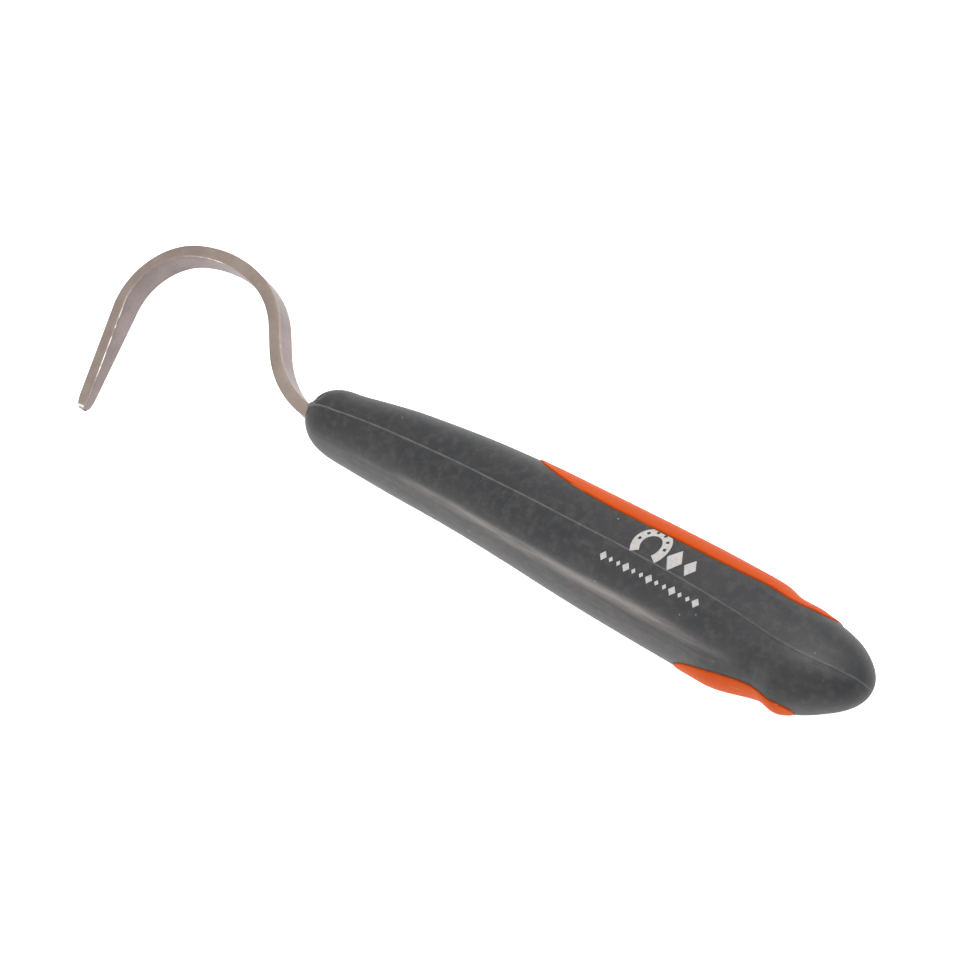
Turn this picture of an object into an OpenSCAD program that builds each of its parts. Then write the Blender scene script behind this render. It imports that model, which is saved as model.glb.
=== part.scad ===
// Hoof pick: one bent steel bar moulded into a two-colour soft grip handle.
// Lies on its side: X runs from the hook to the butt, Y from tip side to spine, Z up.

/* [Handle] */
// Length of the moulded handle from its nose to its butt
handle_l = 142; // [120:1:170]
// Height of the handle at its fattest point, in the plane of the hook
handle_h = 23.6; // [20:0.2:27]
// Height of the handle just behind the nose
nose_h = 14.2; // [13:0.2:18]
// Thickness of the handle as a share of its height
handle_ratio = 0.9; // [0.8:0.02:1]
// Wall of the soft outer grip over the hard core
grip_wall = 2.2; // [1.6:0.1:2.8]
// Height of the moulded parting line on both sides
seam_rise = 0.2; // [0:0.05:0.4]

/* [Windows] */
// Half length of the core window along the spine
spine_win_l = 37; // [30:0.5:40]
// Half width of the core window along the spine
spine_win_w = 8; // [5:0.25:8.5]
// Half length of the core window on the belly
belly_win_l = 13; // [9:0.1:14]
// Half width of the core window on the belly
belly_win_w = 5.6; // [4:0.1:7]
// Height of the core's pads above the soft grip
pad_proud = 0.25; // [0:0.05:0.4]
// Depth of the thumb dip across the spine
spine_dip = 0.55; // [0:0.05:1]
// Depth of the finger groove across the belly
belly_dip = 1.75; // [0:0.05:1.8]

/* [Hook] */
// Thickness of the bar, in the plane of the hook
bar_t = 2.9; // [2:0.1:3.2]
// Width of the bar, across the plane of the hook
bar_w = 5.8; // [5:0.1:6.6]
// Width of the bar at the scraping tip
tip_w = 2.1; // [1.2:0.1:3.5]
// Thickness of the bar at the scraping tip
tip_t = 2; // [1:0.1:2.4]
// Chamfer on the long edges of the bar
bar_edge = 0.35; // [0.2:0.05:0.6]
// Length of the straight leg that ends in the tip
leg_l = 25.8; // [20:0.2:34]
// Bend radius at the far side of the hook
toe_r = 15.6; // [12:0.2:18]
// Length of the tang inside the handle
tang_l = 92; // [60:1:100]

/* [Hidden] */
$fn = 48;
nose_a = 9;
butt_a = 29;
butt_x = handle_l - butt_a;
spine_dip_x = handle_l - 20.5;
belly_dip_x = handle_l - 19.4;
spine_x = handle_l - 48.5;
belly_x = handle_l - 23.7;
flare = 0.9;
tang_y = -2.5;
tang_x = 3.9;
neck_r = 25.6;
neck_turn = 49.9;
rise_l = 5.9;
crown_turn_a = 29.7;
crown_r_a = 22.4;
crown_turn_b = 38.1;
crown_r_b = 32.4;
toe_turn = 86.6;
peg_d = 2.8;
tip_l = 3;
peg_x = [38, 66, 90];
seam_a = 84;
lift = handle_ratio * handle_h / 2 * pow(sin(seam_a), 0.93) + seam_rise;
reach_x = -60.833 - bar_t / 2;
shift = [-(handle_l - 0.11 + reach_x) / 2, 2.394, lift];
fine_angles = concat(
    [for (a = [0:9:72]) a],
    [79, seam_a - 1.6, seam_a, seam_a + 1.6, 91],
    [for (a = [99:9:261]) a],
    [269, 360 - seam_a - 1.6, 360 - seam_a, 360 - seam_a + 1.6, 281],
    [for (a = [288:9:351]) a]);
even_angles = [for (a = [0:10:350]) a];

// Smooth step from a to b while x goes from x0 to x1
function ease(a, b, x0, x1, x) =
    let (t = max(0, min(1, (x - x0) / (x1 - x0))))
    a + (b - a) * (1 - cos(180 * t)) / 2;

// Height of the middle line of the handle: a slight double bend
function mid_y(x) =
    lookup(x * 142 / handle_l, [
        [0, -0.85], [4, -0.98], [7, -1.1], [10, -1.18], [13, -1.03], [16, -0.8], [20, -0.55],
        [25, -0.24], [30, -0.03], [36, 0.22], [42, 0.42], [48, 0.52], [55, 0.5], [63, 0.38],
        [72, 0.1], [82, -0.15], [92, -0.32], [102, -0.5], [110, -0.74], [118, -0.98], [124, -1.02],
        [128, -0.8], [132, -0.3], [136, 0.28], [142, 0.62]]);

// Half height of the handle without its rounded ends
function full_h(x) =
    nose_h / 2 + ease(0, flare, 0, 30, x)
    + ((handle_h - nose_h) / 2 - flare) * sin(max(0, min(90, 90 * (x - 8) / (butt_x - 10))));

// Share of the full height left by the rounded ends
function nose_k(x, trim) =
    x < nose_a ? sqrt(max(0, 1 - pow((nose_a - x) / (nose_a - trim), 2))) : 1;
function butt_k(x, trim) =
    x > butt_x ? sqrt(max(0, 1 - pow((x - butt_x) / (butt_a - trim), 2))) : 1;

function half_h(x, inset, trim) = (full_h(x) - inset) * nose_k(x, trim) * butt_k(x, trim);

// Share of a dip's depth at a station, from its front and back lengths
function dip_k(x, cx, front, back) =
    let (t = (x - cx) / (x < cx ? front : back))
    abs(t) < 1 ? (1 + cos(180 * t)) / 2 : 0;

// Depth of the thumb dip on the spine side and of the finger groove on the belly side
function groove(x, u, z) =
    max(0, 1 - pow(z / 10, 2))
    * (u > 0 ? spine_dip * dip_k(x, spine_dip_x, 4.2, 5.5) : belly_dip * dip_k(x, belly_dip_x, 11.5, 5.5));

// Rise of the parting line around its angle
function seam(a) = abs(abs(a > 180 ? 360 - a : a) - seam_a) < 0.1 ? seam_rise : 0;

// Rounded section of the handle: slightly squarer than an ellipse
function ring(x, h, angles, ridge, dips) = [
    for (a = angles)
        let (c = cos(a), s = sin(a))
        let (u = sign(c) * pow(abs(c), 0.93), v = sign(s) * pow(abs(s), 0.93))
        let (z = handle_ratio * h * v)
        let (r = h + (ridge ? seam(a) : 0) - (dips ? groove(x, u, z) : 0))
        [x, mid_y(x) + r * u, z + (ridge ? seam(a) * sign(v) : 0)]];

// Stations from nose to butt, closer together where the ends are round
function stations(trim) = concat(
    [for (i = [1:6]) nose_a - (nose_a - trim) * cos(14 * i + 5)],
    [for (i = [0:14]) nose_a + (butt_x - nose_a) * i / 14],
    [for (i = [1:10]) butt_x + (butt_a - trim) * sin(8.5 * i)]);

function groove_stations(trim) = concat(
    [for (i = [1:6]) nose_a - (nose_a - trim) * cos(14 * i + 5)],
    [for (i = [0:12]) nose_a + (butt_x - 14 - nose_a) * i / 12],
    [for (i = [1:22]) butt_x - 14 + i * 1.55],
    [for (i = [46, 54, 62, 70, 78, 85]) butt_x + (butt_a - trim) * sin(i)]);

// Closed skin through a list of equal rings
module skin(rings) {
    n = len(rings[0]);
    m = len(rings);
    pts = [for (r = rings) for (p = r) p];
    sides = [for (i = [0:m - 2]) for (j = [0:n - 1])
        let (k = (j + 1) % n)
        each [[i * n + j, (i + 1) * n + k, i * n + k], [i * n + j, (i + 1) * n + j, (i + 1) * n + k]]];
    ends = [[for (j = [0:n - 1]) j], [for (j = [n - 1:-1:0]) (m - 1) * n + j]];
    polyhedron(points = pts, faces = concat(sides, ends), convexity = 4);
}

module outer_body() {
    skin([for (x = groove_stations(0)) ring(x, half_h(x, 0, 0), fine_angles, true, true)]);
}

module inner_body() {
    skin([for (x = stations(3)) ring(x, half_h(x, grip_wall, 3), even_angles, false, false)]);
}

module pad_body() {
    skin([for (x = groove_stations(0)) ring(x, half_h(x, -pad_proud, 0), even_angles, false, true)]);
}

// Outline of a window seen along Y
function window(cx, a, b, n) = [
    for (i = [0:5:355])
        let (c = cos(i), s = sin(i))
        [cx + a * sign(c) * pow(abs(c), 2 / n), b * sign(s) * pow(abs(s), 2 / n)]];

module window_prisms() {
    rotate([90, 0, 0])
        translate([0, 0, -14])
            linear_extrude(height = 14)
                polygon(window(spine_x, spine_win_l, spine_win_w, 3));
    rotate([90, 0, 0])
        linear_extrude(height = 16)
            polygon(window(belly_x, belly_win_l, belly_win_w, 2));
}

module core_body() {
    inner_body();
    intersection() {
        pad_body();
        window_prisms();
    }
}

// Points along a bend from [x, y, heading]: a positive turn goes to the left
function arc_path(p, r, turn) =
    let (side = sign(turn), n = ceil(abs(turn) / 5))
    let (cx = p[0] - side * r * sin(p[2]), cy = p[1] + side * r * cos(p[2]))
    [for (i = [1:n])
        let (h = p[2] + turn * i / n)
        [cx + side * r * sin(h), cy - side * r * cos(h), h]];

function line_path(p, l) = [[p[0] + l * cos(p[2]), p[1] + l * sin(p[2]), p[2]]];

function last(list) = list[len(list) - 1];

// Route of the bar's middle line from the end of the tang to the start of the leg
neck = arc_path([tang_x, tang_y, 180], neck_r, -neck_turn);
rise = line_path(last(neck), rise_l);
crown_a = arc_path(last(rise), crown_r_a, crown_turn_a);
crown_b = arc_path(last(crown_a), crown_r_b, crown_turn_b);
toe = arc_path(last(crown_b), toe_r, toe_turn);
tang_path = [[tang_x + tang_l, tang_y, 180], [tang_x, tang_y, 180]];
bar_path = concat(tang_path, neck, rise, crown_a, crown_b, toe);
leg_mid = line_path(last(toe), leg_l - tip_l);
leg_end = line_path(last(toe), leg_l);
mid_w = tip_w + (bar_w - tip_w) * tip_l / leg_l;

// Section of the bar across its route: a rectangle with chamfered edges
function bar_ring(p, t, w, off) =
    let (a = t / 2, b = w / 2, e = min(bar_edge, t / 4, w / 4))
    let (flat = [[-a + e, -b], [a - e, -b], [a, -b + e], [a, b - e], [a - e, b], [-a + e, b], [-a, b - e], [-a, -b + e]])
    [for (q = flat) [p[0] - (q[0] + off) * sin(p[2]), p[1] + (q[0] + off) * cos(p[2]), q[1]]];

module hook_bar() {
    difference() {
        skin(concat(
            [for (p = bar_path) bar_ring(p, bar_t, bar_w, 0)],
            [bar_ring(leg_mid[0], bar_t, mid_w, 0)],
            [bar_ring(leg_end[0], tip_t, tip_w, (tip_t - bar_t) / 2)]));
        for (x = peg_x)
            translate([x, tang_y, 0])
                rotate([90, 0, 0])
                    cylinder(d = peg_d, h = 10, center = true, $fn = 32);
    }
}

// Bent steel bar: tang, neck, crown, leg and scraping tip
module hook() {
    color([0.62, 0.57, 0.54])
        translate(shift)
            hook_bar();
}

// Hard core with the two pads that show at the spine and the belly
module core() {
    color([0.9, 0.38, 0.13])
        translate(shift)
            difference() {
                core_body();
                hook_bar();
            }
}

// Soft outer grip with its parting line and two windows
module grip() {
    color([0.3, 0.3, 0.32])
        translate(shift)
            difference() {
                outer_body();
                inner_body();
                window_prisms();
                hook_bar();
            }
}

hook();
core();
grip();
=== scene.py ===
import bmesh
import bpy
import math
import numpy as np
from mathutils import Matrix, Vector


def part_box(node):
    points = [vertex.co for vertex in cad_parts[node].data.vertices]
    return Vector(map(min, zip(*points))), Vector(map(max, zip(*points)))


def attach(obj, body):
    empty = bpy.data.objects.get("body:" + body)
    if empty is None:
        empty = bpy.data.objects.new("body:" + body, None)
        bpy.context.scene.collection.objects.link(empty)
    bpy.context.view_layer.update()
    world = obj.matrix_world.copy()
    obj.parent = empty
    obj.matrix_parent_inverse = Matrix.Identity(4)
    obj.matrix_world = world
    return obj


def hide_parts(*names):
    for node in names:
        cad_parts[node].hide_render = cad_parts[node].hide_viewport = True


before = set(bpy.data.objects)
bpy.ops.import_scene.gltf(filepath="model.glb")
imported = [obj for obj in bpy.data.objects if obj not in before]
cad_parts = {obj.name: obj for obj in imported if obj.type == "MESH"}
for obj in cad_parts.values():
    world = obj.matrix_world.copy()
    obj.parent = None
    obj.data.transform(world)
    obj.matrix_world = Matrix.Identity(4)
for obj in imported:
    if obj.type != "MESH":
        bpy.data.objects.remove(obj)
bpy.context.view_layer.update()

# ---------------------------------------------------------------- driving sizes, in metres
MM = 0.001
HANDLE_L = 142 * MM
HANDLE_H = 23.6 * MM
NOSE_H = 14.2 * MM
FLARE = 0.9 * MM
RATIO = 0.9
SQUARE = 0.93
FLARE_L = 30 * MM
SWELL_X = 8 * MM
NOSE_A = 9 * MM
BUTT_A = 29 * MM
BUTT_X = HANDLE_L - BUTT_A
GRIP_WALL = 1.3 * MM
WINDOW_LIP = 0.18 * MM
SPINE = {"x": HANDLE_L - 48.5 * MM, "a": 37 * MM, "b": 8 * MM, "n": 3}
BELLY = {"x": HANDLE_L - 23.7 * MM, "a": 13 * MM, "b": 5.6 * MM, "n": 2}
PAD_PROUD = 0.25 * MM
SPINE_DIP = {"x": HANDLE_L - 20.5 * MM, "front": 4.2 * MM, "back": 5.5 * MM, "deep": 0.55 * MM}
BELLY_DIP = {"x": HANDLE_L - 19.4 * MM, "front": 11.5 * MM, "back": 5.5 * MM, "deep": 1.75 * MM}
DIP_SPREAD = 10 * MM
PAD_ROUND = 0.25 * MM
PAD_WALL = 1.5 * MM
SEAM_RISE = 0.12 * MM
SEAM_HALF = 0.17 * MM
SEAM_NOSE_RISE = 0.38 * MM
SEAM_NOSE_HALF = 0.55 * MM
DENT = 0.55 * MM
# The far side of the handle is the near side mirrored
MIRROR = np.array([1, 1, -1])
BAR_W = 5.8 * MM
BAR_T = 2.9 * MM
BAR_EDGE = 0.3 * MM
TIP_W = 2.1 * MM
TIP_T = 2.0 * MM
TIP_L = 3 * MM
TIP_ROUND = 1.3 * MM
LEG_L = 25.8 * MM
TANG_L = 92 * MM
TANG_X = 3.9 * MM
TANG_Y = -2.5 * MM
# Bends of the bar: radius and turn in degrees, to the left if positive
NECK = (25.6 * MM, -49.9)
RISE_L = 5.9 * MM
CROWN = ((22.4 * MM, 29.7), (32.4 * MM, 38.1))
TOE = (15.6 * MM, 86.6)

# Height of the handle's middle line at places along it, in millimetres
MID_LINE = [
    (0, -0.85), (4, -0.98), (7, -1.1), (10, -1.18), (13, -1.03), (16, -0.8), (20, -0.55),
    (25, -0.24), (30, -0.03), (36, 0.22), (42, 0.42), (48, 0.52), (55, 0.5), (63, 0.38),
    (72, 0.1), (82, -0.15), (92, -0.32), (102, -0.5), (110, -0.74), (118, -0.98), (124, -1.02),
    (128, -0.8), (132, -0.3), (136, 0.28), (142, 0.62),
]
# Angle of the parting line, off the spine, at places along the handle in millimetres
SEAM_LINE = [
    (0, 93), (1.4, 92.5), (5, 88.2), (8, 85), (13, 83.2), (20, 83.6), (30, 84.6), (43, 85.2), (55, 85.4),
    (66, 84.4), (77, 83.6), (85, 83), (98, 83.3), (107, 84), (116, 85.3), (121, 87), (126, 88.8),
    (130, 90.2), (134, 91.2), (138, 91), (140, 89), (142, 88),
]
# Angle of the painted highlight band below the parting line
SHEEN_LINE = [
    (20, 129), (34, 131), (47, 132.9), (61, 132.2), (77, 129.9), (93, 127.7), (103, 126.7), (120, 126),
]

# The nose end of the handle's axis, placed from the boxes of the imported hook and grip
BUTT_SHORT = 0.11 * MM
CROWN_TOP = 21.155 * MM
HOOK_HIGH = Vector(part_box("hook")[1])
GRIP_LOW, GRIP_HIGH = [Vector(c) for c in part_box("grip")]
ORIGIN = Vector((
    GRIP_HIGH.x - HANDLE_L + BUTT_SHORT,
    HOOK_HIGH.y - CROWN_TOP,
    (GRIP_LOW.z + GRIP_HIGH.z) / 2,
))


# ---------------------------------------------------------------- shape of the handle
def ease(a, b, x0, x1, x):
    """Smooth step from a to b while x goes from x0 to x1."""
    t = np.clip((x - x0) / (x1 - x0), 0, 1)
    return a + (b - a) * (1 - np.cos(np.pi * t)) / 2


def mid_y(x):
    """Height of the handle's middle line."""
    return MM * np.interp(x / MM, *np.transpose(MID_LINE))


def half_h(x):
    """Half height of the handle, with its rounded nose and butt."""
    swell = np.sin(np.clip((x - SWELL_X) / (BUTT_X - 10 * MM), 0, 1) * np.pi / 2)
    full = NOSE_H / 2 + ease(0, FLARE, 0, FLARE_L, x) + ((HANDLE_H - NOSE_H) / 2 - FLARE) * swell
    nose = np.sqrt(np.clip(1 - ((NOSE_A - np.minimum(x, NOSE_A)) / NOSE_A) ** 2, 0, 1))
    butt = np.sqrt(np.clip(1 - ((np.maximum(x, BUTT_X) - BUTT_X) / BUTT_A) ** 2, 0, 1))
    return full * nose * butt


def window_w(win, x):
    """Half width of a window at a station along the handle."""
    u = np.clip(np.abs(x - win["x"]) / win["a"], 0, 1)
    return win["b"] * (1 - u ** win["n"]) ** (1 / win["n"])


def window_gap(win, x, z):
    """Distance from a window's outline, negative inside it."""
    u = np.abs(x - win["x"]) / win["a"]
    v = np.abs(z) / win["b"]
    n = win["n"]
    f = (u ** n + v ** n) ** (1 / n)
    slope = np.hypot(u ** (n - 1) / win["a"], v ** (n - 1) / win["b"]) / np.maximum(f, 1e-6) ** (n - 1)
    return (f - 1) / np.maximum(slope, 1e-3)


def signed_pow(v, p):
    return np.sign(v) * np.abs(v) ** p


def angle_of(x, width):
    """Angle off the spine or belly at which the section is this wide."""
    reach = np.maximum(RATIO * half_h(x), 1e-6)
    return np.arcsin(np.clip(width / reach, 0, 0.98) ** (1 / SQUARE))


def seam_angle(x):
    """Where the parting line runs on the side, as an angle from the spine."""
    return np.radians(np.interp(x / MM, *np.transpose(SEAM_LINE)))


def dip_depth(dip, x):
    """Depth of a dip at a station, easing out at its front and its back."""
    t = (x - dip["x"]) / np.where(x < dip["x"], dip["front"], dip["back"])
    return dip["deep"] * (1 + np.cos(np.pi * np.clip(t, -1, 1))) / 2


def groove(x, angle, z):
    """Depth of the thumb dip on the spine side and of the finger groove on the belly side."""
    deep = np.where(angle < np.pi / 2, dip_depth(SPINE_DIP, x), dip_depth(BELLY_DIP, x))
    return deep * np.clip(1 - (z / DIP_SPREAD) ** 2, 0, 1)


def section_point(x, angle, sink):
    """Point on the handle's section, sink metres below its skin."""
    h = half_h(x)
    u = signed_pow(np.cos(angle), SQUARE)
    v = signed_pow(np.sin(angle), SQUARE)
    return np.stack([x + 0 * angle, mid_y(x) + (h - sink) * u, RATIO * h * v - sink * v], -1)


def stations():
    """Places along the handle, close together at the ends and at the windows' ends."""
    turn = np.linspace(0.04, 1, 26) * np.pi / 2
    nose = NOSE_A * (1 - np.cos(turn))
    butt = BUTT_X + BUTT_A * np.sin(np.linspace(0, 0.975, 46) * np.pi / 2)
    middle = np.arange(NOSE_A, BUTT_X, 0.8 * MM)
    steps = np.array([0, 0.03, 0.08, 0.15, 0.25, 0.4, 0.6, 0.9, 1.3, 1.8]) * MM
    ends = [w["x"] + s * w["a"] for w in (SPINE, BELLY) for s in (-1, 1)]
    close = np.concatenate([e + s * steps for e in ends for s in (-1, 1)])
    pads = np.arange(BELLY["x"] - BELLY["a"], HANDLE_L - 9 * MM, 0.5 * MM)
    every = np.sort(np.concatenate([nose, middle, butt, close, pads]))
    keep = [every[0]]
    for x in every[1:]:
        if x - keep[-1] > 0.025 * MM or min(abs(x - e) for e in ends) < 1e-7:
            keep.append(x)
    return np.array(keep)


# ---------------------------------------------------------------- mesh helpers
def new_object(name, verts, faces, smooth=True):
    mesh = bpy.data.meshes.new(name)
    mesh.from_pydata([tuple(v) for v in verts], [], faces)
    mesh.validate()
    mesh.polygons.foreach_set("use_smooth", [smooth] * len(mesh.polygons))
    obj = bpy.data.objects.new(name, mesh)
    bpy.context.scene.collection.objects.link(obj)
    return obj


def grid_faces(rows, cols, start=0):
    """Quads over rows of equal length, facing the way that rows x cols turns."""
    out = []
    for i in range(rows - 1):
        for j in range(cols - 1):
            a = start + i * cols + j
            d = a + cols
            out.append((a, a + 1, d + 1, d))
    return out


def mirrored_faces(rows, cols):
    """Faces of a side and of its mirror image, whose points follow on."""
    other = [tuple(reversed(f)) for f in grid_faces(rows, cols, rows * cols)]
    return grid_faces(rows, cols) + other


def merge_and_face_out(obj, distance):
    """Merge doubles and turn every face outwards."""
    bm = bmesh.new()
    bm.from_mesh(obj.data)
    bmesh.ops.remove_doubles(bm, verts=bm.verts, dist=distance)
    bmesh.ops.dissolve_degenerate(bm, edges=bm.edges, dist=distance / 4)
    bmesh.ops.recalc_face_normals(bm, faces=bm.faces)
    bm.to_mesh(obj.data)
    bm.free()
    obj.data.polygons.foreach_set("use_smooth", [True] * len(obj.data.polygons))
    obj.data.update()


def apply_modifiers(obj):
    """Replace the object's mesh with its evaluated one."""
    graph = bpy.context.evaluated_depsgraph_get()
    graph.update()
    mesh = bpy.data.meshes.new_from_object(obj.evaluated_get(graph), depsgraph=graph)
    obj.modifiers.clear()
    obj.data = mesh
    return obj


def set_attribute(obj, name, values):
    layer = obj.data.attributes.get(name) or obj.data.attributes.new(name, "FLOAT", "POINT")
    layer.data.foreach_set("value", np.asarray(values, dtype=np.float32).ravel())


def finish_piece(obj, slot, material, *nodes):
    obj.data.materials.clear()
    obj.data.materials.append(material)
    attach(obj, "root")
    if nodes:
        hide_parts(*nodes)
    return obj


# ---------------------------------------------------------------- the bar's route
def bend(path, radius, turn, step=2.0):
    """Add a bend to the route, in steps of no more than so many degrees."""
    x, y, h = path[-1]
    side = math.copysign(1, turn)
    cx = x - side * radius * math.sin(h)
    cy = y + side * radius * math.cos(h)
    n = math.ceil(abs(turn) / step)
    for i in range(1, n + 1):
        a = h + math.radians(turn) * i / n
        path.append((cx + side * radius * math.sin(a), cy - side * radius * math.cos(a), a))


def straight(path, length, step):
    """Add a straight stretch to the route, in steps no longer than this."""
    x, y, h = path[-1]
    n = max(1, math.ceil(length / step))
    for i in range(1, n + 1):
        s = length * i / n
        path.append((x + s * math.cos(h), y + s * math.sin(h), h))


def bar_route():
    """The bar's middle line from the end of the tang to the tip, as x, y and heading."""
    path = [(TANG_X + TANG_L, TANG_Y, math.pi)]
    straight(path, TANG_L - 8 * MM, 12 * MM)
    straight(path, 8 * MM, 1 * MM)
    bend(path, *NECK)
    straight(path, RISE_L, 0.6 * MM)
    for curve in (*CROWN, TOE):
        bend(path, *curve)
    straight(path, LEG_L - TIP_L, 0.6 * MM)
    straight(path, TIP_L, 0.1 * MM)
    return np.array(path)


# ---------------------------------------------------------------- node trees written as expressions
class Socket:
    """A node's output that can be added, multiplied and mixed like a number."""

    def __init__(self, tree, socket):
        self.tree = tree
        self.socket = socket

    def _math(self, operation, a, b=None):
        values = {0: a} if b is None else {0: a, 1: b}
        return self.tree.make("ShaderNodeMath", {"operation": operation}, values)["Value"]

    def __add__(self, other):
        return self._math("ADD", self, other)

    def __radd__(self, other):
        return self._math("ADD", other, self)

    def __sub__(self, other):
        return self._math("SUBTRACT", self, other)

    def __rsub__(self, other):
        return self._math("SUBTRACT", other, self)

    def __mul__(self, other):
        return self._math("MULTIPLY", self, other)

    def __rmul__(self, other):
        return self._math("MULTIPLY", other, self)

    def __truediv__(self, other):
        return self._math("DIVIDE", self, other)

    def __pow__(self, other):
        return self._math("POWER", self, other)

    def __abs__(self):
        return self._math("ABSOLUTE", self)

    def least(self, other):
        return self._math("MINIMUM", self, other)

    def step(self, low, high):
        """Smooth 0 to 1 while this goes from low to high."""
        settings = {"interpolation_type": "SMOOTHSTEP"}
        values = {"Value": self, "From Min": low, "From Max": high}
        return self.tree.make("ShaderNodeMapRange", settings, values)["Result"]


class Tree:
    """A node tree with one way to add any node."""

    def __init__(self, tree):
        self.tree = tree
        self.tree.nodes.clear()

    def put(self, target, value):
        if isinstance(value, Socket):
            self.tree.links.new(value.socket, target)
        else:
            target.default_value = value

    def make(self, kind, settings=None, values=None):
        """Add a node, set it up, feed its inputs, and return its outputs by name."""
        node = self.tree.nodes.new(kind)
        for key, value in (settings or {}).items():
            setattr(node, key, value)
        for key, value in (values or {}).items():
            self.put(node.inputs[key], value)
        outs = {}
        for s in node.outputs:
            if s.enabled and s.name not in outs:
                outs[s.name] = Socket(self, s)
        outs["node"] = node
        return outs


class Material(Tree):
    """A procedural surface on Object coordinates."""

    def __init__(self, name):
        self.material = bpy.data.materials.new(name)
        self.material.use_nodes = True
        super().__init__(self.material.node_tree)
        self.place = self.make("ShaderNodeTexCoord")["Object"]

    def noise(self, scale, detail=2.0, roughness=0.5, stretch=None, seed=0.0):
        """Noise whose features are 1/scale metres across; stretch squeezes it along the axes."""
        shift = (seed, seed * 0.7, -seed)
        values = {"Vector": self.place, "Scale": stretch or (1, 1, 1), "Location": shift}
        where = self.make("ShaderNodeMapping", None, values)["Vector"]
        values = {"Vector": where, "Scale": scale, "Detail": detail, "Roughness": roughness}
        return self.make("ShaderNodeTexNoise", None, values)["Fac"]

    def specks(self, scale, size):
        """Round specks, one here and there, size of their spacing across."""
        values = {"Vector": self.place, "Scale": scale}
        dots = self.make("ShaderNodeTexVoronoi", {"feature": "F1"}, values)
        pick = self.make("ShaderNodeSeparateColor", None, {"Color": dots["Color"]})["Red"]
        return (1 - dots["Distance"].step(size * 0.6, size)) * pick.step(0.6, 0.9)

    def attribute(self, name):
        return self.make("ShaderNodeAttribute", {"attribute_name": name})["Fac"]

    def mix(self, factor, a, b):
        settings = {"data_type": "RGBA", "blend_type": "MIX"}
        out = self.make("ShaderNodeMix", settings, {"Factor": factor})
        self.put(out["node"].inputs[6], a)
        self.put(out["node"].inputs[7], b)
        return Socket(self, out["node"].outputs[2])

    def bump(self, height, strength, distance):
        values = {"Height": height, "Strength": strength, "Distance": distance}
        return self.make("ShaderNodeBump", None, values)["Normal"]

    def surface(self, **values):
        """The shader itself; underscores in a key stand for spaces."""
        named = {key.replace("_", " "): value for key, value in values.items()}
        bsdf = self.make("ShaderNodeBsdfPrincipled", None, named)["BSDF"]
        self.make("ShaderNodeOutputMaterial", None, {"Surface": bsdf})
        return self.material


def tint(r, g, b):
    return (r, g, b, 1.0)


# ---------------------------------------------------------------- finishes
def bar_steel():
    m = Material("satin_steel_bar")
    edge = m.attribute("edge")
    face = m.attribute("face")
    outer = m.attribute("outer")
    wide = (face - 0.17 * outer).step(-0.05 - 0.15 * outer, 0.05 + 0.15 * outer)
    tip = m.attribute("tip")
    # worn marks where the inner edges carry a painted highlight
    worn = m.attribute("worn")
    patches = m.noise(160, 3, 0.6)
    mottle = m.noise(900, 3, 0.6, seed=3.1)
    grain = m.noise(5200, 2, 0.7, seed=1.3)
    # The wide side faces are painted darker and more lilac than the narrow faces: painted shade on the
    # sides, which face away from the light.
    narrow_face = m.mix(patches.step(0.35, 0.65), tint(0.335, 0.268, 0.237), tint(0.39, 0.325, 0.28))
    wide_face = m.mix(patches.step(0.3, 0.7), tint(0.180, 0.149, 0.147), tint(0.222, 0.185, 0.183))
    colour = m.mix(wide, narrow_face, wide_face)
    colour = m.mix(mottle.step(0.5, 0.75) * 0.25, colour, tint(0.26, 0.22, 0.20))
    pits = m.specks(700, 0.16)
    colour = m.mix(pits * 0.5, colour, tint(0.13, 0.11, 0.10))
    broken = m.noise(420, 2, 0.6, seed=5.0).step(0.42, 0.6)
    # Painted highlight: the chamfer facets near the tip are painted pale grey and made less metallic,
    # standing in for the light they catch.
    tip_facet_highlight = tip.step(0.2, 0.3) * (1 - tip.step(0.6, 0.7)) * (1 - wide) * (1 - edge.step(0.2, 0.5))
    # Painted highlight: a broken near-white glint along the inner edges
    painted_edge_glint = edge.step(0.84, 1) * worn * broken
    # The rounded edges are painted darker.
    darker_edges = edge.step(0.3, 0.8) * 0.34
    colour = m.mix(darker_edges, colour, tint(0.17, 0.135, 0.12))
    colour = m.mix(painted_edge_glint, colour, tint(0.86, 0.78, 0.73))
    colour = m.mix(tip_facet_highlight, colour, tint(0.64, 0.61, 0.58))
    colour = m.mix(tip.step(0.6, 0.72) * 0.6, colour, tint(0.11, 0.10, 0.095))
    rough = 0.44 + 0.16 * mottle - 0.12 * painted_edge_glint + 0.12 * pits
    height = grain * 0.6 + mottle * 0.8 + patches * 1.6 - pits * 1.5
    normal = m.bump(height, 0.35, 0.00006)
    return m.surface(Base_Color=colour, Metallic=0.9 - 0.55 * tip_facet_highlight, Roughness=rough, Normal=normal)


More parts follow.
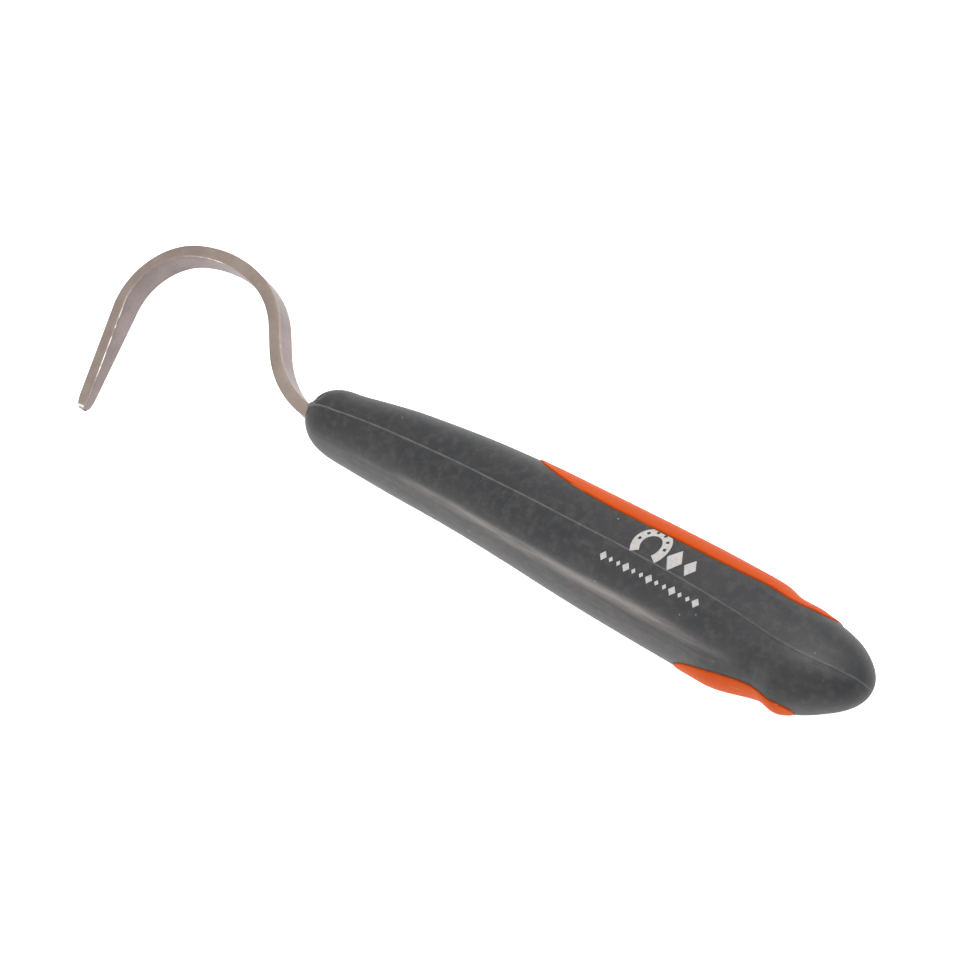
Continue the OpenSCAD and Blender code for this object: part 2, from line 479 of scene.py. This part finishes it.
def soft_skin():
    m = Material("soft_dark_grip")
    seam = m.attribute("seam")
    rub = m.attribute("rub")
    cloud = m.noise(75, 3, 0.6)
    mottle = m.noise(520, 3, 0.65, seed=2.0)
    tooth = m.noise(7000, 2, 0.6, seed=4.0)
    peel = m.noise(1500, 2, 0.5, seed=6.0)
    colour = m.mix(cloud.step(0.3, 0.7), tint(0.022, 0.023, 0.025), tint(0.030, 0.030, 0.032))
    colour = m.mix(mottle.step(0.42, 0.72) * 0.6, colour, tint(0.054, 0.051, 0.048))
    scuff = m.noise(260, 4, 0.7, stretch=(0.35, 1, 1), seed=9.0).step(0.62, 0.8)
    colour = m.mix(scuff * 0.30, colour, tint(0.085, 0.082, 0.08))
    strokes = m.noise(900, 3, 0.65, stretch=(0.08, 1, 1), seed=11.0).step(0.3, 0.62)
    # Painted highlight and painted reflection: a pale band below the parting line, broken by strokes, a
    # paler belly side, and a partly scuffed patch at the butt.
    colour = m.mix(rub * (0.45 + 0.55 * strokes), colour, tint(0.200, 0.183, 0.175))
    dust = m.specks(300, 0.07)
    colour = m.mix(dust * 0.55, colour, tint(0.34, 0.32, 0.30))
    dark = m.specks(230, 0.06)
    colour = m.mix(dark * 0.6, colour, tint(0.02, 0.02, 0.02))
    # Painted highlight along the parting line's little ridge.
    line = m.noise(300, 3, 0.6, seed=13.0).step(0.3, 0.6)
    colour = m.mix(seam * (0.25 + 0.25 * line), colour, tint(0.19, 0.18, 0.17))
    rough = 0.47 + 0.12 * mottle + 0.08 * cloud + 0.1 * scuff
    height = tooth * 0.5 + peel * 1.0 + mottle * 1.0 + dust * 2.0
    normal = m.bump(height, 0.30, 0.00005)
    return m.surface(
        Base_Color=colour, Roughness=rough, Normal=normal, Specular_IOR_Level=0.34)


def hard_core():
    m = Material("orange_core")
    flow = m.noise(60, 3, 0.6, stretch=(0.25, 1, 1))
    fine = m.noise(1400, 2, 0.6, seed=2.2)
    rim = m.attribute("rim")
    colour = m.mix(flow.step(0.3, 0.7), tint(0.42, 0.052, 0.0015), tint(0.48, 0.063, 0.002))
    colour = m.mix(fine.step(0.5, 0.8) * 0.3, colour, tint(0.52, 0.082, 0.006))
    # Painted shade: the pads' rounded rims are painted darker where they turn down under the grip's lip.
    colour = m.mix(rim * 0.5, colour, tint(0.22, 0.035, 0.01))
    scratch = m.noise(900, 2, 0.5, stretch=(0.06, 1, 1), seed=7.0).step(0.66, 0.74)
    colour = m.mix(scratch * 0.2, colour, tint(0.90, 0.42, 0.22))
    rough = 0.46 + 0.14 * fine + 0.12 * scratch
    normal = m.bump(fine + flow * 1.2 - scratch * 0.5, 0.18, 0.00005)
    return m.surface(
        Base_Color=colour, Roughness=rough, Normal=normal, Specular_IOR_Level=0.05)


def pale_ink():
    m = Material("pale_printed_ink")
    cover = m.noise(1500, 3, 0.65)
    worn = m.noise(420, 3, 0.6, seed=3.0).step(0.56, 0.78)
    colour = m.mix(cover.step(0.35, 0.7), tint(0.35, 0.335, 0.325), tint(0.43, 0.415, 0.405))
    colour = m.mix(worn * 0.55, colour, tint(0.20, 0.195, 0.19))
    normal = m.bump(cover, 0.15, 0.00003)
    return m.surface(Base_Color=colour, Roughness=0.55 + 0.1 * cover, Normal=normal)


# ---------------------------------------------------------------- steel bar
def geometry_tree(name, inputs):
    """A Geometry Nodes tree with geometry in and out and named inputs."""
    group = bpy.data.node_groups.new(name, "GeometryNodeTree")
    group.interface.new_socket("Geometry", in_out="INPUT", socket_type="NodeSocketGeometry")
    for label, kind, value in inputs:
        item = group.interface.new_socket(label, in_out="INPUT", socket_type=kind)
        if value is not None:
            item.default_value = value
    group.interface.new_socket("Geometry", in_out="OUTPUT", socket_type="NodeSocketGeometry")
    return group, Tree(group)


def end_tree(t, geometry, finish):
    """Make the result plain geometry with its finish on it, and put it out."""
    real = t.make("GeometryNodeRealizeInstances", None, {"Geometry": geometry})["Geometry"]
    done = t.make("GeometryNodeSetMaterial", None, {"Geometry": real, "Material": finish})["Geometry"]
    t.make("NodeGroupOutput", None, {"Geometry": done})


def run_tree(obj, group, values):
    """Put the tree on the object, set its inputs by identifier, and keep the plain mesh."""
    modifier = obj.modifiers.new(group.name, "NODES")
    modifier.node_group = group
    for item in group.interface.items_tree:
        if item.in_out == "INPUT" and item.name in values:
            modifier[item.identifier] = values[item.name]
    graph = bpy.context.evaluated_depsgraph_get()
    graph.update()
    mesh = bpy.data.meshes.new_from_object(obj.evaluated_get(graph), depsgraph=graph)
    name = obj.name
    bpy.data.objects.remove(obj)
    out = bpy.data.objects.new(name, mesh)
    bpy.context.scene.collection.objects.link(out)
    return out


def bar_tree():
    """Sweeps a rounded flat section along the route and tapers it towards the tip."""
    group, t = geometry_tree("swept_bar", [
        ("Bar width", "NodeSocketFloat", BAR_W),
        ("Bar thickness", "NodeSocketFloat", BAR_T),
        ("Edge radius", "NodeSocketFloat", BAR_EDGE),
        ("Finish", "NodeSocketMaterial", None),
    ])
    start = t.make("NodeGroupInput")
    width, thick = start["Bar width"], start["Bar thickness"]
    flat = t.make("GeometryNodeCurvePrimitiveQuadrilateral", {"mode": "RECTANGLE"}, {
        "Width": thick, "Height": width})["Curve"]
    rounded = t.make("GeometryNodeFilletCurve", {"mode": "POLY"}, {
        "Curve": flat, "Count": 5, "Radius": start["Edge radius"], "Limit Radius": True})["Curve"]
    finer = t.make("GeometryNodeSubdivideCurve", None, {"Curve": rounded, "Cuts": 2})["Curve"]
    where = t.make("GeometryNodeInputPosition")["Position"]
    curve = t.make("GeometryNodeMeshToCurve", None, {"Mesh": start["Geometry"]})["Curve"]
    curve = t.make("GeometryNodeSetCurveNormal", {"mode": "Z_UP"}, {"Curve": curve})["Curve"]
    route = t.make("GeometryNodeStoreNamedAttribute", {"data_type": "FLOAT_VECTOR"}, {
        "Geometry": curve, "Name": "middle", "Value": where})["Geometry"]
    mesh = t.make("GeometryNodeCurveToMesh", None, {
        "Curve": route, "Profile Curve": finer, "Fill Caps": True})["Mesh"]

    def stored(kind, name):
        return t.make("GeometryNodeInputNamedAttribute", {"data_type": kind}, {"Name": name})["Attribute"]

    middle = stored("FLOAT_VECTOR", "middle")
    off = t.make("ShaderNodeVectorMath", {"operation": "SUBTRACT"}, {0: where, 1: middle})["Vector"]
    parts = t.make("ShaderNodeSeparateXYZ", None, {"Vector": off})
    across = (parts["X"] * parts["X"] + parts["Y"] * parts["Y"]) ** 0.5
    thick_share = across / (thick / 2)
    wide_share = abs(parts["Z"]) / (width / 2)
    edge = thick_share.least(wide_share).step(0.7, 0.96)
    face = thick_share - wide_share
    for name, value in (("edge", edge), ("face", face)):
        mesh = t.make("GeometryNodeStoreNamedAttribute", {"data_type": "FLOAT", "domain": "POINT"}, {
            "Geometry": mesh, "Name": name, "Value": value})["Geometry"]
    taper = t.make("ShaderNodeCombineXYZ", None, {
        "X": parts["X"] * stored("FLOAT", "thick_k"),
        "Y": parts["Y"] * stored("FLOAT", "thick_k"),
        "Z": parts["Z"] * stored("FLOAT", "width_k"),
    })["Vector"]
    place = t.make("ShaderNodeVectorMath", {"operation": "ADD"}, {0: middle, 1: taper})["Vector"]
    moved = t.make("GeometryNodeSetPosition", None, {"Geometry": mesh, "Position": place})["Geometry"]
    end_tree(t, moved, start["Finish"])
    return group


def make_bar(steel):
    path = bar_route()
    along = np.concatenate([[0], np.cumsum(np.hypot(*np.diff(path[:, :2], axis=0).T))])
    left = along[-1] - along
    taper = np.clip(left / LEG_L, 0, 1)
    width_k = (TIP_W + (BAR_W - TIP_W) * taper) / BAR_W
    thick_k = np.interp(left, [0, TIP_L], [TIP_T / BAR_T, 1])
    # round off the very end
    chamfer = np.clip(1 - left / TIP_ROUND, 0, 1)
    round_w = np.sqrt(1 - 0.80 * chamfer ** 2)
    round_t = np.sqrt(1 - 0.45 * chamfer ** 2)
    verts = [(ORIGIN.x + x, ORIGIN.y + y, ORIGIN.z) for x, y, _ in path]
    mesh = bpy.data.meshes.new("bar_route")
    mesh.from_pydata(verts, [(i, i + 1) for i in range(len(verts) - 1)], [])
    line = bpy.data.objects.new("steel_bar", mesh)
    bpy.context.scene.collection.objects.link(line)
    set_attribute(line, "width_k", width_k * round_w)
    set_attribute(line, "thick_k", thick_k * round_t)
    bar = run_tree(line, bar_tree(), {
        "Bar width": BAR_W, "Bar thickness": BAR_T, "Edge radius": BAR_EDGE, "Finish": steel})
    spots, near, inner = bar_places(bar, path)
    # cut the end a little aslant, and shorter below the bar's middle plane
    end = np.clip(1 - left[near] / (2 * MM), 0, 1)
    push = end * (-0.1 * MM + 0.3 * inner + 0.45 * np.minimum(spots[:, 2] - ORIGIN.z, 0))
    spots[:, 0] += push * np.cos(path[near, 2])
    spots[:, 1] += push * np.sin(path[near, 2])
    bar.data.vertices.foreach_set("co", spots.ravel())
    bar.data.update()
    # painted highlight on the inner edges, broken up: along the leg and on top of the crown
    places = [0, 6, 10, 21, 27, 34, 50, 53, 57, 59]
    edge_glint_amount = np.interp(left[near] / MM, places, [0.1, 0.2, 0.75, 0.85, 0.3, 0.1, 0.1, 0.6, 0.6, 0])
    set_attribute(bar, "worn", np.where(inner > 0, edge_glint_amount, 0.06))
    set_attribute(bar, "outer", inner < 0)
    set_attribute(bar, "tip", chamfer[near])
    return bar


def bar_places(bar, path):
    """Where the bar's points lie, their nearest place on the route and how far to its inner side."""
    spots = np.empty(len(bar.data.vertices) * 3)
    bar.data.vertices.foreach_get("co", spots)
    spots = spots.reshape(-1, 3)
    x, y = spots[:, 0] - ORIGIN.x, spots[:, 1] - ORIGIN.y
    near = np.argmin(np.hypot(x[:, None] - path[None, :, 0], y[:, None] - path[None, :, 1]), axis=1)
    turn = path[near, 2]
    inner = (y - path[near, 1]) * np.cos(turn) - (x - path[near, 0]) * np.sin(turn)
    return spots, near, inner


# ---------------------------------------------------------------- grip and core
def grip_angles(x):
    """Angles of the grip's rows on one side, from the spine window to the belly window."""
    top = angle_of(x, window_w(SPINE, x))[:, None]
    low = np.pi - angle_of(x, window_w(BELLY, x))[:, None]
    mid = seam_angle(x)[:, None]
    wide = SEAM_HALF + SEAM_NOSE_HALF * np.exp(-((x - 1.5 * MM) / (1.8 * MM)) ** 2)
    half = np.minimum(wide / np.maximum(half_h(x), 1.2 * MM), 0.5)[:, None]
    upper = top + (mid - 2.2 * half - top) * np.linspace(0, 1, 28)
    ridge = mid + half * np.array([-1.4, -0.9, -0.6, -0.3, 0, 0.3, 0.6, 0.9, 1.4])
    lower = mid + 2.2 * half + (low - mid - 2.2 * half) * np.linspace(0, 1, 34)
    return np.concatenate([upper, ridge, lower], 1), mid, half


def sheen_and_scuff_at(along, degrees):
    """How much paler the skin is painted: a painted highlight band below the parting line, a painted
    reflection of the floor on the belly side, and a pale patch at the butt, partly scuffs and partly
    painted highlight.
    """
    off = degrees - np.interp(along, *np.transpose(SHEEN_LINE))
    band = np.exp(-(off / np.where(off < 0, 5.0, 7.0)) ** 2)
    band = band * np.interp(along, [28, 36, 50, 98, 112, 122], [0, 0.5, 0.9, 0.95, 0.35, 0])
    belly = 0.20 * np.clip((off + 5) / 10, 0, 1) * np.interp(along, [4, 22, 108, 122], [0.5, 1, 0.9, 0])
    butt = 0.22 * np.exp(-((along - 132.5) / 5) ** 2 - ((degrees - 93) / 10) ** 2)
    return np.maximum(np.maximum(band, belly), butt)


def make_grip():
    x = stations()
    angles, mid, half = grip_angles(x)
    off = np.abs(angles - mid) / half
    along = x[:, None] / MM
    near = np.exp(-((along - 1.5) / 2.0) ** 2)
    rise = (SEAM_RISE + SEAM_NOSE_RISE * near) * np.clip(1 - off ** 2 / 0.9, 0, 1) ** 0.7
    rise = rise * np.clip((HANDLE_L / MM - 0.4 - along) / 2, 0, 1)
    # a small dent beside the bar, above the parting line
    dent = DENT * np.exp(-((along - 2.6) / 1.5) ** 2 - ((np.degrees(angles) - 66) / 12) ** 2)
    flat = section_point(x[:, None], angles, 0)
    side = section_point(x[:, None], angles, dent - rise + groove(x[:, None], angles, flat[..., 2]))
    # how strongly the parting line's ridge is painted pale, fading towards the butt
    seam = np.clip(1.25 - off, 0, 1) * np.interp(along, [0, 95, 125], [1, 0.8, 0.45])
    rub = sheen_and_scuff_at(along, np.degrees(angles))
    rows, cols = angles.shape
    faces = mirrored_faces(rows, cols)
    # close the butt with a fan round its end point
    butt = 2 * rows * cols
    end = (HANDLE_L - 0.02 * MM, float(mid_y(HANDLE_L)), 0)
    last = (rows - 1) * cols
    for j in range(last, last + cols - 1):
        faces.append((j, j + 1, butt))
        faces.append((rows * cols + j + 1, rows * cols + j, butt))
    verts = np.concatenate([side.reshape(-1, 3), (side * MIRROR).reshape(-1, 3), [end]]) + np.array(ORIGIN)
    obj = new_object("soft_grip", verts, faces)
    set_attribute(obj, "seam", np.append(np.tile(seam.ravel(), 2), 0))
    set_attribute(obj, "rub", np.append(np.tile(rub.ravel(), 2), 0))
    merge_and_face_out(obj, 0.004 * MM)
    shell = obj.modifiers.new("wall", "SOLIDIFY")
    shell.thickness = GRIP_WALL
    shell.offset = -1
    shell.use_even_offset = False
    shell.use_rim = True
    lip = obj.modifiers.new("lip", "BEVEL")
    lip.width = WINDOW_LIP
    lip.segments = 3
    lip.limit_method = "ANGLE"
    lip.angle_limit = math.radians(55)
    return apply_modifiers(obj)


def pad_angles(win, x):
    """Angles of a pad's rows, from the middle of its window to just past the window's outline."""
    past = np.array([-0.9, -0.6, -0.4, -0.25, -0.15, -0.08, -0.03, 0.35]) * MM
    width = window_w(win, x)[:, None]
    inside = np.clip(width + past[0], 0, 1) * np.linspace(0, 1, 18)[:-1]
    outline = np.clip(width + past, 0, 1)
    return angle_of(x[:, None], np.concatenate([inside, outline], 1))


def make_core():
    x = stations()
    x = x[(x > 4 * MM) & (x < HANDLE_L - 2 * MM)]
    top = pad_angles(SPINE, x)
    low = (np.pi - pad_angles(BELLY, x))[:, ::-1]
    between = top[:, -1:] + (low[:, :1] - top[:, -1:]) * np.linspace(0, 1, 22)[1:-1]
    angles = np.concatenate([top, between, low], 1)
    x = x[:, None]
    z = section_point(x, angles, 0)[..., 2]
    gap = np.where(angles < np.pi / 2, window_gap(SPINE, x, z), window_gap(BELLY, x, z))
    # the pads' rims are rounded over, and past them the core drops below the grip's wall
    edge = np.clip((gap + 0.3 * MM) / (0.2 * MM), 0, 1)
    wall = np.clip((gap + 0.1 * MM) / (0.06 * MM), 0, 1)
    sink = PAD_ROUND * edge ** 2 + PAD_WALL * wall - PAD_PROUD + groove(x, angles, z)
    side = section_point(x, angles, sink)
    rows, cols = angles.shape
    verts = np.concatenate([side.reshape(-1, 3), (side * MIRROR).reshape(-1, 3)]) + np.array(ORIGIN)
    faces = mirrored_faces(rows, cols)
    for i, flip in ((0, False), (rows - 1, True)):
        ring = [i * cols + j for j in range(cols)]
        back = [rows * cols + i * cols + j for j in range(cols - 2, 0, -1)]
        faces.append(tuple(reversed(ring + back)) if flip else tuple(ring + back))
    obj = new_object("orange_core", verts, faces)
    # rim carries the painted shade onto the pads' rounded rims
    set_attribute(obj, "rim", np.tile(edge.ravel(), 2))
    merge_and_face_out(obj, 0.004 * MM)
    return obj


# ---------------------------------------------------------------- printed mark
def strip(verts, faces, line, left, right, skip=()):
    """A flat band along a line of (point, direction), from left to right of it."""
    start = len(verts)
    for p, d in line:
        n = Vector((-d.y, d.x))
        verts.append(p + n * left)
        verts.append(p + n * right)
    for i in range(len(line) - 1):
        if i not in skip:
            a = start + 2 * i
            faces.append((a, a + 1, a + 3, a + 2))


def horseshoe(verts, faces, centre, size):
    """A shoe open towards the belly: an outer and an inner band with nail slots between them."""
    line = []
    n = 48
    for i in range(n + 1):
        a = math.radians(-128 + 256 * i / n)
        reach = size * (1 - 0.10 * (abs(a) / math.radians(128)) ** 3)
        line.append(centre + Vector((math.sin(a) * reach, math.cos(a) * size * 1.12)))
    path = []
    for i, p in enumerate(line):
        d = (line[min(i + 1, n)] - line[max(i - 1, 0)]).normalized()
        path.append((p, d))
    band = size * 0.20
    nails = {k + s for k in (8, 14, 20, 26, 32, 38) for s in (0, 1)}
    strip(verts, faces, path, band * 1.5, band * 0.5)
    strip(verts, faces, path, band * 0.5, -band * 0.5, nails)
    strip(verts, faces, path, -band * 0.5, -band * 1.5)


def lozenge(verts, faces, centre, half_x, half_y):
    """A diamond, cut into four so that it can lie on a curved skin."""
    start = len(verts)
    rim = ((1, 0), (0.5, 0.5), (0, 1), (-0.5, 0.5), (-1, 0), (-0.5, -0.5), (0, -1), (0.5, -0.5))
    for dx, dy in ((0, 0), *rim):
        verts.append(centre + Vector((dx * half_x, dy * half_y)))
    for k in range(4):
        a, b, c = 1 + 2 * k, 2 + 2 * k, 1 + (2 * k + 2) % 8
        faces.append((start, start + a, start + b))
        faces.append((start, start + b, start + c))


def mark_tree():
    """Lays a flat mark on the skin under it and gives it a film's thickness."""
    group, t = geometry_tree("printed_film", [
        ("Skin", "NodeSocketObject", None),
        ("Film", "NodeSocketFloat", 0.02 * MM),
        ("Lift", "NodeSocketFloat", 0.015 * MM),
        ("Finish", "NodeSocketMaterial", None),
    ])
    start = t.make("NodeGroupInput")
    skin = t.make("GeometryNodeObjectInfo", {"transform_space": "RELATIVE"}, {
        "Object": start["Skin"]})["Geometry"]
    finer = t.make("GeometryNodeSubdivideMesh", None, {"Mesh": start["Geometry"], "Level": 2})["Mesh"]
    ray = t.make("GeometryNodeRaycast", {"data_type": "FLOAT"}, {
        "Target Geometry": skin, "Ray Direction": (0, 0, -1), "Ray Length": 0.1})
    lift = t.make("ShaderNodeVectorMath", {"operation": "SCALE"}, {
        0: ray["Hit Normal"], "Scale": start["Lift"]})["Vector"]
    place = t.make("ShaderNodeVectorMath", {"operation": "ADD"}, {
        0: ray["Hit Position"], 1: lift})["Vector"]
    # only what lies on the skin is printed: the rest would hang over the window
    printed = t.make("GeometryNodeDeleteGeometry", {"domain": "POINT"}, {
        "Geometry": finer, "Selection": 1 - ray["Is Hit"]})["Geometry"]
    laid = t.make("GeometryNodeSetPosition", None, {"Geometry": printed, "Position": place})["Geometry"]
    film = t.make("GeometryNodeExtrudeMesh", {"mode": "FACES"}, {
        "Mesh": laid, "Offset Scale": start["Film"], "Individual": False})["Mesh"]
    back = t.make("GeometryNodeFlipFaces", None, {"Mesh": laid})["Mesh"]
    both = t.make("GeometryNodeJoinGeometry")
    t.tree.links.new(film.socket, both["node"].inputs[0])
    t.tree.links.new(back.socket, both["node"].inputs[0])
    welded = t.make("GeometryNodeMergeByDistance", None, {
        "Geometry": both["Geometry"], "Distance": 0.001 * MM})["Geometry"]
    end_tree(t, welded, start["Finish"])
    return group


def make_mark(grip, ink):
    """A horseshoe and two diamonds above the parting line, and a row of small diamonds below it."""
    verts, faces = [], []
    horseshoe(verts, faces, Vector((92.8 * MM, 3.9 * MM)), 3.1 * MM)
    for x, size in ((98.9, 1.75), (102.6, 1.35)):
        lozenge(verts, faces, Vector((x * MM, 3.6 * MM)), size * MM, size * 1.45 * MM)
    for i in range(13):
        size = (0.85, 0.5, 0.5)[i % 3] * MM
        lozenge(verts, faces, Vector(((85.5 + 1.85 * i) * MM, -1.9 * MM)), size, size * 1.2)
    flat = [(ORIGIN.x + v.x, ORIGIN.y + v.y, GRIP_HIGH.z + 2 * MM) for v in verts]
    obj = new_object("printed_mark", flat, faces)
    merge_and_face_out(obj, 0.002 * MM)
    return run_tree(obj, mark_tree(), {"Skin": grip, "Film": 0.02 * MM, "Lift": 0.02 * MM, "Finish": ink})


steel = bar_steel()
finish_piece(make_bar(steel), "steel", steel, "hook")
grip = make_grip()
ink = pale_ink()
finish_piece(make_mark(grip, ink), "soft_grip", ink)
finish_piece(grip, "soft_grip", soft_skin(), "grip")
finish_piece(make_core(), "core_plastic", hard_core(), "core")


# ---------------------------------------------------------------- floor, light and camera
def pale_floor():
    m = Material("pale_floor")
    tone = m.noise(3, 2, 0.5)
    colour = m.mix(tone, tint(0.93, 0.93, 0.93), tint(0.96, 0.96, 0.96))
    m.surface(Base_Color=colour, Roughness=0.9, Emission_Color=colour, Emission_Strength=0.75)
    return m.material


def make_floor():
    half = 3.0
    corners = [(x * half, y * half, 0) for x, y in ((-1, -1), (1, -1), (1, 1), (-1, 1))]
    obj = new_object("floor", corners, [(0, 1, 2, 3)], False)
    obj.data.materials.append(pale_floor())


def lamp(name, place, target, size, power):
    """A soft rectangular lamp aimed at a point."""
    data = bpy.data.lights.new(name, "AREA")
    data.shape = "RECTANGLE"
    data.size, data.size_y = size
    data.energy = power
    obj = bpy.data.objects.new(name, data)
    bpy.context.scene.collection.objects.link(obj)
    obj.location = place
    aim = (Vector(target) - Vector(place)).normalized()
    obj.rotation_euler = aim.to_track_quat("-Z", "X").to_euler()


def make_light():
    world = bpy.data.worlds.new("studio")
    bpy.context.scene.world = world
    world.use_nodes = True
    t = Tree(world.node_tree)
    glow = t.make("ShaderNodeBackground", None, {"Color": tint(1, 1, 1), "Strength": 0.55})["Background"]
    t.make("ShaderNodeOutputWorld", None, {"Surface": glow})
    middle = (0.0, 0.0, 0.011)
    lamp("strip", (-0.40, -0.60, 0.30), middle, (0.9, 0.14), 4.0)
    lamp("top", (0.2, 0.5, 0.9), middle, (0.8, 0.8), 11.5)


def make_camera():
    """Looks from the butt side and a little from the tip side, down on the tool."""
    place = Vector((0.274192, -0.069772, 0.417773))
    ahead = Vector((-0.54409, 0.15038, -0.82544))
    up = Vector((-0.38589, 0.82873, 0.40533))
    right = ahead.cross(up).normalized()
    up = right.cross(ahead).normalized()
    data = bpy.data.cameras.new("camera")
    data.sensor_width = 36
    data.lens = 91.0
    data.clip_start = 0.01
    camera = bpy.data.objects.new("camera", data)
    turn = Matrix((right, up, -ahead.normalized())).transposed().to_4x4()
    camera.matrix_world = Matrix.Translation(place) @ turn
    bpy.context.scene.collection.objects.link(camera)
    bpy.context.scene.camera = camera


make_floor()
make_light()
make_camera()
bpy.context.scene.view_settings.view_transform = "Standard"
